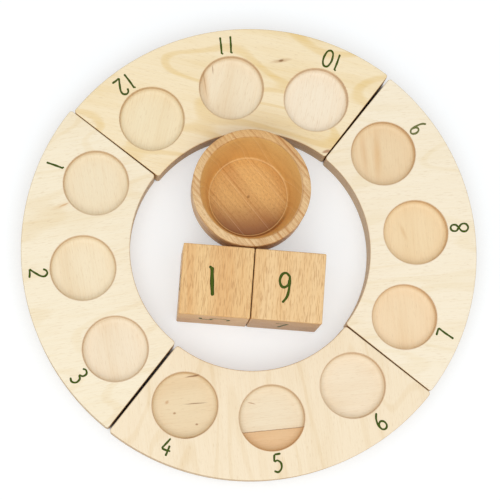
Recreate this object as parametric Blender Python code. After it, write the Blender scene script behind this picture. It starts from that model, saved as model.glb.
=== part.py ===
"""Perpetual calendar for a table top, in metres, +Z up.

Twelve month wells are milled into a ring of four loose birch quarters. Inside the ring stand
a turned beech cup and two beech number cubes. The origin is the ring's centre on the table,
and the user sits on the -Y side. Every piece is loose and lies where its owner laid it.
"""

import math

import bmesh
import bpy
from mathutils import Matrix, Vector

# Number cubes: a pair side by side, in front of the ring's centre
CUBE_SIDE = 0.046
CUBE_ARRIS_ROUND = 0.0009
CUBE_PAIR_GAP = 0.0006
PAIR_SETBACK = 0.0023
PAIR_SIDEWAYS = 0.0014

# Cup: turned on a lathe, with a tapered bore and a broad round above its foot
CUP_HEIGHT = 0.042
CUP_RADIUS = 0.0388
CUP_RIM_WALL = 0.0053
CUP_RIM_ROUND = 0.0009
CUP_FOOT_ROUND = 0.019
CUP_FLOOR_THICKNESS = 0.0085
CUP_BORE_TAPER = 0.0065
CUP_FLOOR_COVE = 0.0012
CUP_TO_CUBES_GAP = 0.0014
CUP_SIDEWAYS = -0.0035

# Ring: flat boards, cut to quarters and milled with one well for each month
CUP_TO_RING_GAP = 0.0021
FINGER_ROOM = 0.0105
BOARD_THICKNESS = 0.020
BOARD_ARRIS_ROUND = 0.0008
QUARTER_CORNER_ROUND = 0.0020
QUARTER_END_CUT = 0.0004
WELL_RADIUS = 0.0215
WELL_DEPTH = 0.006
WELL_FLOOR_FILLET = 0.0040
WELL_RIM_ROUND = 0.0004
WELL_INNER_LAND = 0.0098
MONTH_BAND_WIDTH = 0.0183

# How the pieces were laid down: turns in degrees, slips as shares of the largest slip
RING_TURN = 7.0
COURT_TURN = -4.0
LAID_SLIP = 0.0020
QUARTER_NAMES = ("quarter_jul_sep", "quarter_oct_dec", "quarter_jan_mar", "quarter_apr_jun")
SLIP_OUTWARD_SHARES = (0.15, 0.10, 0.05, 0.12)
SLIP_ROUND_SHARES = (0.30, -0.93, -0.68, 0.25)
QUARTER_LAY_TURNS = (-0.30, 0.63, 0.25, -0.05)

# Wood colours as linear red, green and blue
QUARTER_COLOURS = ((0.84, 0.69, 0.46), (0.83, 0.66, 0.40), (0.86, 0.72, 0.50), (0.82, 0.66, 0.43))
CUP_COLOUR = (0.55, 0.31, 0.13)
TENS_CUBE_COLOUR = (0.72, 0.44, 0.20)
UNITS_CUBE_COLOUR = (0.74, 0.49, 0.25)

# How finely the round forms are divided
QUARTER_ARC_STEPS = 28
CORNER_STEPS = 3
ARRIS_SEGMENTS = 2
WELL_STEPS = 40
WELL_FILLET_STEPS = 4
WELL_RIM_STEPS = 1
CUP_STEPS = 56
CUP_RIM_STEPS = 3
CUP_COVE_STEPS = 3
CUP_FOOT_STEPS = 8
CUT_OVERRUN = 0.002
MERGE_DISTANCE = 0.00001

QUARTER_ANGLE = math.tau / len(QUARTER_NAMES)
WELLS_PER_QUARTER = 3
WELL_ANGLE = QUARTER_ANGLE / WELLS_PER_QUARTER
SHARP_ANGLE = math.radians(35)


def cubes_front_corner():
    """Return the far front corner of the cube pair, in the turned court's plane."""
    across = PAIR_SIDEWAYS + CUBE_PAIR_GAP / 2 + CUBE_SIDE
    along = PAIR_SETBACK + CUBE_SIDE
    return Vector((across, -along))


def cup_centre():
    """Return the cup's axis in the turned court's plane, just behind the cubes."""
    return Vector((CUP_SIDEWAYS, CUP_TO_CUBES_GAP - PAIR_SETBACK + CUP_RADIUS))


def court_radius():
    """Return the ring's inner radius, which leaves room round the cup and the cubes."""
    round_cup = cup_centre().length + CUP_RADIUS + CUP_TO_RING_GAP
    round_cubes = cubes_front_corner().length + FINGER_ROOM
    return max(round_cup, round_cubes)


RING_INNER_RADIUS = court_radius()
WELL_CIRCLE_RADIUS = RING_INNER_RADIUS + WELL_INNER_LAND + WELL_RADIUS
RING_OUTER_RADIUS = WELL_CIRCLE_RADIUS + WELL_RADIUS + MONTH_BAND_WIDTH


def arc_points(centre, radius, start, stop, steps):
    """Return points along an arc from start to stop, both in radians, ends included."""
    angles = [start + (stop - start) * i / steps for i in range(steps + 1)]
    return [centre + Vector((math.cos(a), math.sin(a))) * radius for a in angles]


def clear_scene():
    """Remove every object that the file opened with."""
    for old in list(bpy.data.objects):
        bpy.data.objects.remove(old)


def wood_material(name, colour, roughness):
    """Return a plain wood finish: colour is linear red, green and blue."""
    material = bpy.data.materials.new(name)
    material.use_nodes = True
    surface = material.node_tree.nodes["Principled BSDF"]
    surface.inputs["Base Color"].default_value = (*colour, 1.0)
    surface.inputs["Roughness"].default_value = roughness
    surface.inputs["Metallic"].default_value = 0.0
    return material


def new_object(name, mesh, parent=None, material=None):
    """Link a mesh to the scene as an object, smooth but for its sharp edges."""
    piece = bpy.data.objects.new(name, mesh)
    bpy.context.scene.collection.objects.link(piece)
    piece.parent = parent
    if material:
        mesh.materials.append(material)
    mesh.shade_smooth()
    mesh.set_sharp_from_angle(angle=SHARP_ANGLE)
    return piece


def new_empty(name, turn=0.0):
    """Add an empty at the ring's centre, turned about the vertical."""
    empty = bpy.data.objects.new(name, None)
    bpy.context.scene.collection.objects.link(empty)
    empty.rotation_euler.z = turn
    return empty


def hide_cutter(cutter):
    """Mark an object as a tool that cuts others and isn't part of the model."""
    cutter.hide_render = True
    cutter.display_type = "WIRE"


def mesh_from(bm, name):
    """Write a bmesh to a new mesh with its faces pointing out."""
    bmesh.ops.recalc_face_normals(bm, faces=bm.faces)
    mesh = bpy.data.meshes.new(name)
    bm.to_mesh(mesh)
    bm.free()
    return mesh


def spin_profile(bm, profile, centre, steps):
    """Turn a profile of (radius, height) pairs, from axis to axis, about a vertical axis."""
    axis_point = Vector((centre.x, centre.y, 0))
    verts = [bm.verts.new(axis_point + Vector((radius, 0, height))) for radius, height in profile]
    edges = [bm.edges.new(pair) for pair in zip(verts, verts[1:])]
    bmesh.ops.spin(
        bm, geom=verts + edges, cent=axis_point, axis=(0, 0, 1), angle=math.tau, steps=steps, use_merge=True
    )


def bevel_arris(piece, width):
    """Round the sharp edges of a piece, as sandpaper would."""
    bevel = piece.modifiers.new("arris", "BEVEL")
    bevel.width = width
    bevel.segments = ARRIS_SEGMENTS
    bevel.limit_method = "ANGLE"
    bevel.angle_limit = SHARP_ANGLE


def quarter_half_outline():
    """Return the outline of a quarter from its outer middle to its inner middle.

    The quarter's middle lies along +X. Its end face is parallel to the line at 45 degrees and
    stands back from it by the end cut, and both corners are rounded.
    """
    end_angle = QUARTER_ANGLE / 2
    along_end = Vector((math.cos(end_angle), math.sin(end_angle)))
    end_normal_angle = end_angle + math.pi / 2
    end_normal = Vector((math.cos(end_normal_angle), math.sin(end_normal_angle)))
    set_in = QUARTER_END_CUT + QUARTER_CORNER_ROUND

    def corner_centre(reach):
        return along_end * math.sqrt(reach**2 - set_in**2) - end_normal * set_in

    outer_corner = corner_centre(RING_OUTER_RADIUS - QUARTER_CORNER_ROUND)
    inner_corner = corner_centre(RING_INNER_RADIUS + QUARTER_CORNER_ROUND)
    outer_angle = math.atan2(outer_corner.y, outer_corner.x)
    inner_angle = math.atan2(inner_corner.y, inner_corner.x)
    half_steps = QUARTER_ARC_STEPS // 2
    centre = Vector((0, 0))
    outline = arc_points(centre, RING_OUTER_RADIUS, 0, outer_angle, half_steps)[:-1]
    outline += arc_points(outer_corner, QUARTER_CORNER_ROUND, outer_angle, end_normal_angle, CORNER_STEPS)
    outline += arc_points(
        inner_corner, QUARTER_CORNER_ROUND, end_normal_angle, inner_angle + math.pi, CORNER_STEPS
    )
    outline += arc_points(centre, RING_INNER_RADIUS, inner_angle, 0, half_steps)[1:]
    return outline


def quarter_board_mesh():
    """Extrude a quarter's outline to the board's thickness, with its middle along +X."""
    half = quarter_half_outline()
    mirrored = [Vector((point.x, -point.y)) for point in reversed(half[1:-1])]
    bm = bmesh.new()
    base = bm.faces.new([bm.verts.new((point.x, point.y, 0)) for point in half + mirrored])
    raised = bmesh.ops.extrude_face_region(bm, geom=[base])["geom"]
    top_verts = [item for item in raised if isinstance(item, bmesh.types.BMVert)]
    bmesh.ops.translate(bm, verts=top_verts, vec=(0, 0, BOARD_THICKNESS))
    return mesh_from(bm, "quarter_board")


def well_profile():
    """Return the milling tool's profile: flat floor, rounded corner, wall and eased rim."""
    floor = BOARD_THICKNESS - WELL_DEPTH
    fillet = Vector((WELL_RADIUS - WELL_FLOOR_FILLET, floor + WELL_FLOOR_FILLET))
    rim = Vector((WELL_RADIUS + WELL_RIM_ROUND, BOARD_THICKNESS - WELL_RIM_ROUND))
    profile = [(0, floor)]
    profile += arc_points(fillet, WELL_FLOOR_FILLET, -math.pi / 2, 0, WELL_FILLET_STEPS)
    profile += arc_points(rim, WELL_RIM_ROUND, math.pi, math.pi / 2, WELL_RIM_STEPS)
    profile += [(rim.x, BOARD_THICKNESS + CUT_OVERRUN), (0, BOARD_THICKNESS + CUT_OVERRUN)]
    return profile


def well_centres():
    """Return the three well centres of a quarter, in the quarter's own plane."""
    turns = [(i - (WELLS_PER_QUARTER - 1) / 2) * WELL_ANGLE for i in range(WELLS_PER_QUARTER)]
    return [Vector((math.cos(turn), math.sin(turn))) * WELL_CIRCLE_RADIUS for turn in turns]


def well_cutter_mesh():
    """Turn one cutter for each of a quarter's three wells, as separate bodies."""
    bm = bmesh.new()
    for centre in well_centres():
        spin_profile(bm, well_profile(), centre, WELL_STEPS)
    bmesh.ops.remove_doubles(bm, verts=bm.verts, dist=MERGE_DISTANCE)
    return mesh_from(bm, "well_cutters")


def quarter_middle_angle(index):
    """Return the direction of a quarter's middle, counter-clockwise from +X."""
    return math.radians(RING_TURN) + index * QUARTER_ANGLE


def quarter_placement(index):
    """Return the place where a quarter was laid: its slip outward, its slip round and its turn."""
    middle = quarter_middle_angle(index)
    outward = Vector((math.cos(middle), math.sin(middle), 0))
    onward = Vector((-math.sin(middle), math.cos(middle), 0))
    slip = (outward * SLIP_OUTWARD_SHARES[index] + onward * SLIP_ROUND_SHARES[index]) * LAID_SLIP
    turn = middle + math.radians(QUARTER_LAY_TURNS[index])
    return Matrix.Translation(slip) @ Matrix.Rotation(turn, 4, "Z")


def add_quarters():
    """Lay the four quarters round the court, each milled by its own set of cutters."""
    ring = new_empty("ring")
    board_mesh = quarter_board_mesh()
    cutter_mesh = well_cutter_mesh()
    for index, (name, colour) in enumerate(zip(QUARTER_NAMES, QUARTER_COLOURS)):
        material = wood_material(name + "_birch", colour, 0.55)
        board = new_object(name, board_mesh.copy(), ring, material)
        board.matrix_local = quarter_placement(index)
        bevel_arris(board, BOARD_ARRIS_ROUND)
        cutter = new_object(name + "_well_cutters", cutter_mesh, board)
        hide_cutter(cutter)
        wells = board.modifiers.new("wells", "BOOLEAN")
        wells.operation = "DIFFERENCE"
        wells.object = cutter


def cup_outer_profile():
    """Return the cup's outside from the middle of its foot up to the rim's outer round."""
    foot_centre = Vector((CUP_RADIUS - CUP_FOOT_ROUND, CUP_FOOT_ROUND))
    rim_centre = Vector((CUP_RADIUS - CUP_RIM_ROUND, CUP_HEIGHT - CUP_RIM_ROUND))
    profile = [(0, 0)]
    profile += arc_points(foot_centre, CUP_FOOT_ROUND, -math.pi / 2, 0, CUP_FOOT_STEPS)
    profile += arc_points(rim_centre, CUP_RIM_ROUND, 0, math.pi / 2, CUP_RIM_STEPS)
    return profile


def cup_bore_profile():
    """Return the cup's inside from the rim's inner round down to the middle of its floor."""
    mouth_radius = CUP_RADIUS - CUP_RIM_WALL
    lean = math.atan2(CUP_BORE_TAPER, CUP_HEIGHT - CUP_FLOOR_THICKNESS)
    cove_run = CUP_FLOOR_COVE * math.tan(math.pi / 4 - lean / 2)
    rim_centre = Vector((mouth_radius + CUP_RIM_ROUND, CUP_HEIGHT - CUP_RIM_ROUND))
    cove_radius = mouth_radius - CUP_BORE_TAPER - cove_run
    cove_centre = Vector((cove_radius, CUP_FLOOR_THICKNESS + CUP_FLOOR_COVE))
    profile = arc_points(rim_centre, CUP_RIM_ROUND, math.pi / 2, math.pi - lean, CUP_RIM_STEPS)
    profile += arc_points(cove_centre, CUP_FLOOR_COVE, -lean, -math.pi / 2, CUP_COVE_STEPS)
    profile += [(0, CUP_FLOOR_THICKNESS)]
    return profile


def add_cup(court):
    """Turn the cup and stand it behind the cubes."""
    bm = bmesh.new()
    spin_profile(bm, cup_outer_profile() + cup_bore_profile(), Vector((0, 0)), CUP_STEPS)
    bmesh.ops.remove_doubles(bm, verts=bm.verts, dist=MERGE_DISTANCE)
    cup = new_object("cup", mesh_from(bm, "cup"), court, wood_material("cup_beech", CUP_COLOUR, 0.5))
    cup.location = cup_centre().to_3d()


def add_cube(name, court, side_sign, colour):
    """Stand one number cube on the table, left of the pair's middle for -1 and right for +1."""
    bm = bmesh.new()
    bmesh.ops.create_cube(bm, size=CUBE_SIDE)
    bmesh.ops.translate(bm, verts=bm.verts, vec=(0, 0, CUBE_SIDE / 2))
    cube = new_object(name, mesh_from(bm, name), court, wood_material(name + "_beech", colour, 0.5))
    centre_across = PAIR_SIDEWAYS + side_sign * (CUBE_SIDE + CUBE_PAIR_GAP) / 2
    cube.location = (centre_across, -PAIR_SETBACK - CUBE_SIDE / 2, 0)
    bevel_arris(cube, CUBE_ARRIS_ROUND)


def main():
    """Build the calendar."""
    clear_scene()
    add_quarters()
    court = new_empty("court", math.radians(COURT_TURN))
    add_cup(court)
    add_cube("tens_cube", court, -1, TENS_CUBE_COLOUR)
    add_cube("units_cube", court, 1, UNITS_CUBE_COLOUR)


main()
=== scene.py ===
"""Looks of a perpetual calendar: a ring of four birch quarters, a turned beech cup and two number cubes.

Lengths are metres, +Z is up, the origin is the ring's centre on the table and the user sits on
the -Y side. Angles in the size fields are degrees, and hex colours are sRGB.
"""

import logging
import math
from dataclasses import dataclass, field
from enum import Enum

import bmesh
import bpy
import numpy as np
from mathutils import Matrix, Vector


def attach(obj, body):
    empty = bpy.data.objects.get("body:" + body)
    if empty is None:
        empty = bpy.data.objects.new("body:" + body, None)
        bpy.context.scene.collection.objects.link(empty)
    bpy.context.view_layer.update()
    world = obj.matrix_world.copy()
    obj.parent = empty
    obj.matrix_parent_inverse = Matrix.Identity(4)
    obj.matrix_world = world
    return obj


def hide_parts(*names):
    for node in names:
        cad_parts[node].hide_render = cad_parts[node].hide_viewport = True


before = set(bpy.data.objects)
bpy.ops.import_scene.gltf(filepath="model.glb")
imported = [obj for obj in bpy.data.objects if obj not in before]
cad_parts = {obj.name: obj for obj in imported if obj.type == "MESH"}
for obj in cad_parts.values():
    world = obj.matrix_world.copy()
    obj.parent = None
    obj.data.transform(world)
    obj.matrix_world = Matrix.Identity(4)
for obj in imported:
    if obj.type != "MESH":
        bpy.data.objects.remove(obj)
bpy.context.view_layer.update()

MERGE_DISTANCE = 0.000002
MM = 0.001
WOOD_IOR = 1.48
ENAMEL_IOR = 1.5

Array = np.ndarray
Point = tuple[float, float, float]
Socket = bpy.types.NodeSocket
log = logging.getLogger("calendar")


class Slot(Enum):
    """Finish slots of the record, by name."""

    BOARD = "birch_plywood"
    CUP = "turned_beech"
    CUBE = "cube_beech"
    PAINT = "green_paint"


# Numbers and meshes


def linear_colour(code: str) -> tuple[float, float, float, float]:
    """Turn an sRGB hex colour to linear light.

    Args:
        code: the colour as a hash sign and six hex digits.

    Returns:
        Linear red, green and blue, and a full alpha.
    """
    channels = [int(code[i : i + 2], 16) / 255 for i in (1, 3, 5)]
    linear = [c / 12.92 if c <= 0.04045 else ((c + 0.055) / 1.055) ** 2.4 for c in channels]
    return (linear[0], linear[1], linear[2], 1.0)


def turn_about_z(points: Array, turn: float) -> Array:
    """Turn row vectors about +Z: x' = x cos - y sin, y' = x sin + y cos."""
    cos, sin = math.cos(turn), math.sin(turn)
    return points @ np.array([[cos, sin, 0.0], [-sin, cos, 0.0], [0.0, 0.0, 1.0]])


def arc(centre: tuple[float, float], radius: float, start: float, stop: float, steps: int) -> Array:
    """Return points on an arc: centre + radius (cos a, sin a), with a even from start to stop."""
    angle = np.linspace(start, stop, steps + 1)
    return np.array(centre) + radius * np.stack([np.cos(angle), np.sin(angle)], axis=-1)


def spin(profile: Array, steps: int) -> Array:
    """Carry a profile round the vertical: (r cos a, r sin a, z) for every profile point (r, z).

    Args:
        profile: radius and height pairs, from the axis back to the axis.
        steps: how many steps a full turn has.

    Returns:
        A grid of points, one row for each profile point.
    """
    angle = np.linspace(0.0, math.tau, steps, endpoint=False)
    radius, height = profile[:, :1], np.broadcast_to(profile[:, 1:], (len(profile), steps))
    return np.stack([radius * np.cos(angle), radius * np.sin(angle), height], axis=-1)


def grid_quads(rows: int, columns: int, closed: bool) -> Array:
    """Return the four-point faces of a grid whose points are numbered row by row.

    Args:
        rows: how many rows of points there are.
        columns: how many points each row has.
        closed: whether the last column joins on to the first.

    Returns:
        An integer array of faces, four point numbers each.
    """
    row = np.arange(rows - 1)[:, None]
    column = np.arange(columns if closed else columns - 1)[None, :]
    after = (column + 1) % columns
    here, above = row * columns, (row + 1) * columns
    return np.stack([here + column, here + after, above + after, above + column], axis=-1).reshape(-1, 4)


@dataclass
class Shell:
    """Grids of points that are sewn together into one closed surface, with a number or two per point."""

    points: list[Array] = field(default_factory=list)
    quads: list[Array] = field(default_factory=list)
    numbers: dict[str, list[Array]] = field(default_factory=dict)

    def add(self, grid: Array, closed: bool, **numbers: Array | float) -> None:
        """Add one grid of points.

        Args:
            grid: points in rows and columns.
            closed: whether its last column joins on to its first.
            numbers: attribute values that the grid's points carry.
        """
        rows, columns = grid.shape[:2]
        start = sum(len(part) for part in self.points)
        self.points.append(grid.reshape(-1, 3))
        self.quads.append(grid_quads(rows, columns, closed) + start)
        for name, value in numbers.items():
            full = np.broadcast_to(np.asarray(value, float), (rows, columns))
            self.numbers.setdefault(name, []).append(full.reshape(-1))

    def build(self, name: str, material: bpy.types.Material) -> bpy.types.Object:
        """Sew the grids at their shared borders and return the finished object.

        Args:
            name: the piece's name.
            material: its finish.

        Returns:
            An object at the origin, with its place in its mesh.
        """
        mesh = bpy.data.meshes.new(name)
        mesh.from_pydata(np.concatenate(self.points).tolist(), [], np.concatenate(self.quads).tolist())
        for label, values in self.numbers.items():
            layer = mesh.attributes.new(label, "FLOAT", "POINT")
            layer.data.foreach_set("value", np.concatenate(values).astype(np.float32))
        work = bmesh.new()
        work.from_mesh(mesh)
        bmesh.ops.remove_doubles(work, verts=work.verts, dist=MERGE_DISTANCE)
        bmesh.ops.recalc_face_normals(work, faces=work.faces)
        work.to_mesh(mesh)
        work.free()
        mesh.materials.append(material)
        mesh.shade_smooth()
        piece = bpy.data.objects.new(name, mesh)
        bpy.context.scene.collection.objects.link(piece)
        return piece


# Node wiring that the finishes share

MIX_A, MIX_B, MIX_RESULT = 6, 7, 2


@dataclass
class Wiring:
    """One node tree, with the short sums that the patterns are made of."""

    tree: bpy.types.NodeTree

    def node(self, kind: str, inputs: dict | None = None, **settings: object) -> bpy.types.Node:
        """Add a node with its settings and links.

        Args:
            kind: the node's type, without its ShaderNode prefix.
            inputs: socket names or numbers, each with a value or the output socket that feeds it.
            settings: the node's properties and their values.

        Returns:
            The new node.
        """
        node = self.tree.nodes.new("ShaderNode" + kind)
        for label, value in settings.items():
            setattr(node, label, value)
        for socket, value in (inputs or {}).items():
            if isinstance(value, Socket):
                self.tree.links.new(value, node.inputs[socket])
            else:
                node.inputs[socket].default_value = value
        return node

    def sum(self, operation: str, *terms: Socket | float) -> Socket:
        """Work out one sum of numbers."""
        return self.node("Math", dict(enumerate(terms)), operation=operation).outputs[0]

    def blend(self, share: Socket | float, first: Socket | str, second: Socket | str, way: str = "MIX") -> Socket:
        """Blend two colours.

        Args:
            share: how much of the second colour shows.
            first: the colour at share 0, from a socket or as an sRGB hex code.
            second: the colour at share 1, likewise.
            way: the blend type.

        Returns:
            The socket that holds the blended colour.
        """
        first, second = (linear_colour(part) if isinstance(part, str) else part for part in (first, second))
        inputs = {0: share, MIX_A: first, MIX_B: second}
        return self.node("Mix", inputs, data_type="RGBA", blend_type=way).outputs[MIX_RESULT]

    def times(self, first: Socket | float, second: Socket | float) -> Socket:
        """Multiply two numbers."""
        return self.sum("MULTIPLY", first, second)

    def ramp(self, value: Socket, low: float, high: float, to_low: float = 0.0, to_high: float = 1.0) -> Socket:
        """Ease a value from to_low at low to to_high at high, flat outside."""
        inputs = {0: value, 1: low, 2: high, 3: to_low, 4: to_high}
        return self.node("MapRange", inputs, interpolation_type="SMOOTHSTEP").outputs[0]

    def grain(self, where: Socket, size: Point, detail: float = 2.0, roughness: float = 0.5) -> Socket:
        """Return soft noise whose grains have a real size.

        Args:
            where: the point to read it at.
            size: a grain's length along each axis.
            detail: how many finer octaves are added.
            roughness: how strong these are.

        Returns:
            The socket that holds a value near 0 to 1.
        """
        scaled = self.node("Mapping", {"Vector": where, "Scale": tuple(1 / s for s in size)})
        inputs = {"Vector": scaled.outputs[0], "Scale": 1.0, "Detail": detail, "Roughness": roughness}
        return self.node("TexNoise", inputs).outputs[0]

    def own_axes(self, where: Socket, turn: float, centre: Point = (0, 0, 0), size: Point = (1, 1, 1)) -> Socket:
        """Read a point or a direction in axes that are turned about +Z."""
        inputs = {"Vector": where, "Location": centre, "Rotation": (0, 0, math.radians(turn)), "Scale": size}
        return self.node("Mapping", inputs, vector_type="TEXTURE").outputs[0]

    def dress(
        self,
        surface: bpy.types.Node,
        colour: Socket,
        roughness: Socket,
        ior: float,
        relief: Socket,
        bump: tuple[float, float],
    ) -> None:
        """Give a surface shader its colour, roughness and fine relief.

        Args:
            surface: the shader.
            colour: its colour.
            roughness: its roughness.
            ior: its index of refraction.
            relief: the height of the fine relief, near 0 to 1.
            bump: the relief's strength, and its depth in metres.
        """
        raised = self.node("Bump", {"Strength": bump[0], "Distance": bump[1], "Height": relief})
        self.tree.links.new(colour, surface.inputs["Base Color"])
        self.tree.links.new(roughness, surface.inputs["Roughness"])
        self.tree.links.new(raised.outputs[0], surface.inputs["Normal"])
        surface.inputs["IOR"].default_value = ior


def new_material(name: str) -> tuple[bpy.types.Material, Wiring, bpy.types.Node]:
    """Return a new material with its wiring and its surface shader.

    Args:
        name: the material's name.

    Returns:
        The material, its wiring and its Principled shader node.
    """
    material = bpy.data.materials.new(name)
    material.use_nodes = True
    return material, Wiring(material.node_tree), material.node_tree.nodes["Principled BSDF"]


# Finishes


@dataclass(frozen=True)
class Flaw:
    """A knot, crack, nick or stain: an ellipse of another tone on a veneer.

    It is placed in the model's own millimetres, and turned counter-clockwise in degrees.
    """

    x: float
    y: float
    length: float
    width: float
    turn: float
    colour: str
    strength: float = 0.8
    softness: float = 0.5
    in_well: bool = False


@dataclass(frozen=True)
class VeneerJoint:
    """A glued joint where two strips of one inner veneer meet in a well."""

    x: float
    y: float
    turn: float
    tint: str


@dataclass(frozen=True)
class BirchPlywood:
    """Birch plywood: thin rotary-cut veneers glued crosswise, routed, sanded and oiled.

    The eye gets a pale silky face with soft wavy figure, wells whose floor shows the crosswise
    inner veneer, and brown edges striped by end grain and long grain in turn, their brown partly
    painted shade on upright faces. A pattern's size is its length along the grain, across it and from sheet to
    sheet.
    """

    name: str
    face: str
    figure_colour: str
    grain_turn: float
    figure: float
    well_tints: tuple[str, str, str]
    flaws: tuple[Flaw, ...] = ()
    joint: VeneerJoint | None = None
    seed: float = 0.0
    whorl: float = 0.25
    cut_tone: str = "#EADBC6"
    cut_end_tone: str = "#DCC7AC"
    milled_tone: str = "#E6D0AE"
    pore: str = "#C9A878"
    burnished: str = "#BE9068"
    crack: str = "#8A5A30"
    glue: str = "#8C6240"
    board: float = 0.020
    ply: float = 0.00154
    glue_share: float = 0.07
    well_radius: float = 0.0215
    cloud_size: Point = (0.110, 0.016, 1.0)
    fibre_size: Point = (0.026, 0.0009, 1.0)
    pore_size: Point = (0.0045, 0.0005, 1.0)
    swirl_size: Point = (0.135, 0.042, 1.0)
    swirl_lines: float = 44.0
    stir_size: float = 0.003
    stir_reach: float = 0.0005

    def material(self) -> bpy.types.Material:
        """Build the plywood through its whole thickness, so that cuts show the veneers they cross."""
        material, wire, surface = new_material(self.name)
        place = wire.node("TexCoord").outputs
        stir = wire.node("TexNoise", {"Vector": place["Object"], "Scale": 1 / self.stir_size})
        moved = {0: stir.outputs["Color"], 1: (self.stir_reach, self.stir_reach, 0.0), 2: place["Object"]}
        nudged = wire.node("VectorMath", moved, operation="MULTIPLY_ADD").outputs[0]
        axes = wire.node("SeparateXYZ", {0: wire.own_axes(place["Object"], self.grain_turn)}).outputs
        facing = wire.node("SeparateXYZ", {0: wire.own_axes(place["Normal"], self.grain_turn)}).outputs

        depth = wire.sum("MULTIPLY_ADD", axes[2], -1 / self.ply, (self.board + 0.02 * MM) / self.ply)
        layer = wire.sum("FLOOR", depth)
        crossed = wire.sum("PINGPONG", layer, 1.0)
        month = wire.node("Attribute", attribute_name="month_share").outputs["Fac"]
        reach = wire.node("Attribute", attribute_name="well_reach").outputs["Fac"]
        in_well = wire.sum("LESS_THAN", reach, self.well_radius + 0.3 * MM)
        milled = wire.times(in_well, wire.sum("LESS_THAN", axes[2], self.board - 0.5 * MM))

        lengthwise = wire.node("Mix", {0: crossed, 2: axes[0], 3: axes[1]}).outputs[0]
        crosswise = wire.node("Mix", {0: crossed, 2: axes[1], 3: axes[0]}).outputs[0]
        own_sheet = wire.sum("MULTIPLY_ADD", wire.times(month, milled), 2.0, self.seed)
        sheet = wire.sum("MULTIPLY_ADD", layer, 0.61, own_sheet)
        veneer = wire.node("CombineXYZ", {0: lengthwise, 1: crosswise, 2: sheet}).outputs[0]

        clouds = wire.grain(veneer, self.cloud_size, 3.0)
        fibres = wire.grain(veneer, self.fibre_size, 3.0, 0.6)
        pores = wire.grain(veneer, self.pore_size, 1.0)
        swirl = wire.grain(veneer, self.swirl_size, 1.2)
        contour = wire.sum("SINE", wire.times(swirl, self.swirl_lines))
        line = wire.times(wire.ramp(contour, 0.62, 1.0), wire.sum("SUBTRACT", 1.0, milled))

        share = wire.times(line, self.whorl)
        share = wire.sum("ADD", share, wire.ramp(clouds, 0.45, 0.75, 0.0, self.figure * 0.8))
        share = wire.sum("ADD", share, wire.ramp(fibres, 0.40, 0.80, 0.0, 0.26))
        share = wire.times(share, wire.sum("MULTIPLY_ADD", milled, -0.25, 1.0))
        inner = self._well_veneer(wire, month)
        ground = wire.blend(milled, self.face, inner)
        inner_figure = wire.blend(1.0, inner, self.milled_tone, "MULTIPLY")
        figured = wire.blend(milled, self.figure_colour, inner_figure)
        wood = wire.blend(wire.sum("MINIMUM", share, 1.0), ground, figured)
        wood = wire.blend(wire.ramp(pores, 0.60, 0.72, 0.0, 0.22), wood, self.pore)
        for flaw in self.flaws:
            wood = self._add_flaw(wire, wood, flaw, nudged, in_well)
        if self.joint:
            wood = self._add_joint(wire, wood, self.joint, nudged, in_well)
        wood = self._shade_cuts(wire, wood, facing, crossed, depth, in_well)
        # A darker band along each well's rim, on the face and down the top of the wall.
        off_rim = wire.sum("ABSOLUTE", wire.sum("SUBTRACT", reach, self.well_radius))
        wood = wire.blend(wire.ramp(off_rim, 0.2 * MM, 0.7 * MM, 0.34, 0.0), wood, self.burnished)

        relief = wire.sum("ADD", fibres, wire.times(pores, 0.6))
        wire.dress(surface, wood, wire.ramp(fibres, 0.3, 0.8, 0.46, 0.60), WOOD_IOR, relief, (0.25, 0.06 * MM))
        return material

    def _well_veneer(self, wire: Wiring, month: Socket) -> Socket:
        """Give each well's floor the colour of its own inner veneer.

        Args:
            wire: the material's wiring.
            month: 0, a half or 1 for the quarter's three months.

        Returns:
            The veneer's plain colour.
        """
        first, second, third = self.well_tints
        tint = wire.blend(wire.sum("GREATER_THAN", month, 0.25), first, second)
        return wire.blend(wire.sum("GREATER_THAN", month, 0.75), tint, third)

    def _add_flaw(self, wire: Wiring, wood: Socket, flaw: Flaw, where: Socket, in_well: Socket) -> Socket:
        """Lay one flaw over the veneer, with a soft edge.

        Args:
            wire: the material's wiring.
            wood: the colour so far.
            flaw: the flaw's place, size and tone.
            where: the point on the board, slightly stirred.
            in_well: 1 inside a well.

        Returns:
            The colour with the flaw.
        """
        size = (flaw.length * MM / 2, flaw.width * MM / 2, 1.0)
        near = wire.own_axes(where, flaw.turn, (flaw.x * MM, flaw.y * MM, 0.0), size)
        reach = wire.node("VectorMath", {0: near}, operation="LENGTH").outputs["Value"]
        share = wire.ramp(reach, 1.0 - flaw.softness, 1.0 + flaw.softness / 2, flaw.strength, 0.0)
        side = in_well if flaw.in_well else wire.sum("SUBTRACT", 1.0, in_well)
        return wire.blend(wire.times(share, side), wood, flaw.colour)

    def _add_joint(self, wire: Wiring, wood: Socket, joint: VeneerJoint, where: Socket, in_well: Socket) -> Socket:
        """Tint the strip of veneer beyond a joint and draw the joint's dark line.

        Args:
            wire: the material's wiring.
            wood: the colour so far.
            joint: the joint's place and tint.
            where: the point on the board, slightly stirred.
            in_well: 1 inside a well.

        Returns:
            The colour with the joint.
        """
        near = wire.own_axes(where, joint.turn, (joint.x * MM, joint.y * MM, 0.0))
        off = wire.node("SeparateXYZ", {0: near}).outputs[1]
        beyond = wire.times(wire.sum("LESS_THAN", off, 0.0), in_well)
        wood = wire.blend(beyond, wood, joint.tint, "MULTIPLY")
        crack = wire.ramp(wire.sum("ABSOLUTE", off), 0.1 * MM, 0.4 * MM, 0.75, 0.0)
        return wire.blend(wire.times(crack, in_well), wood, self.crack)

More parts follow.
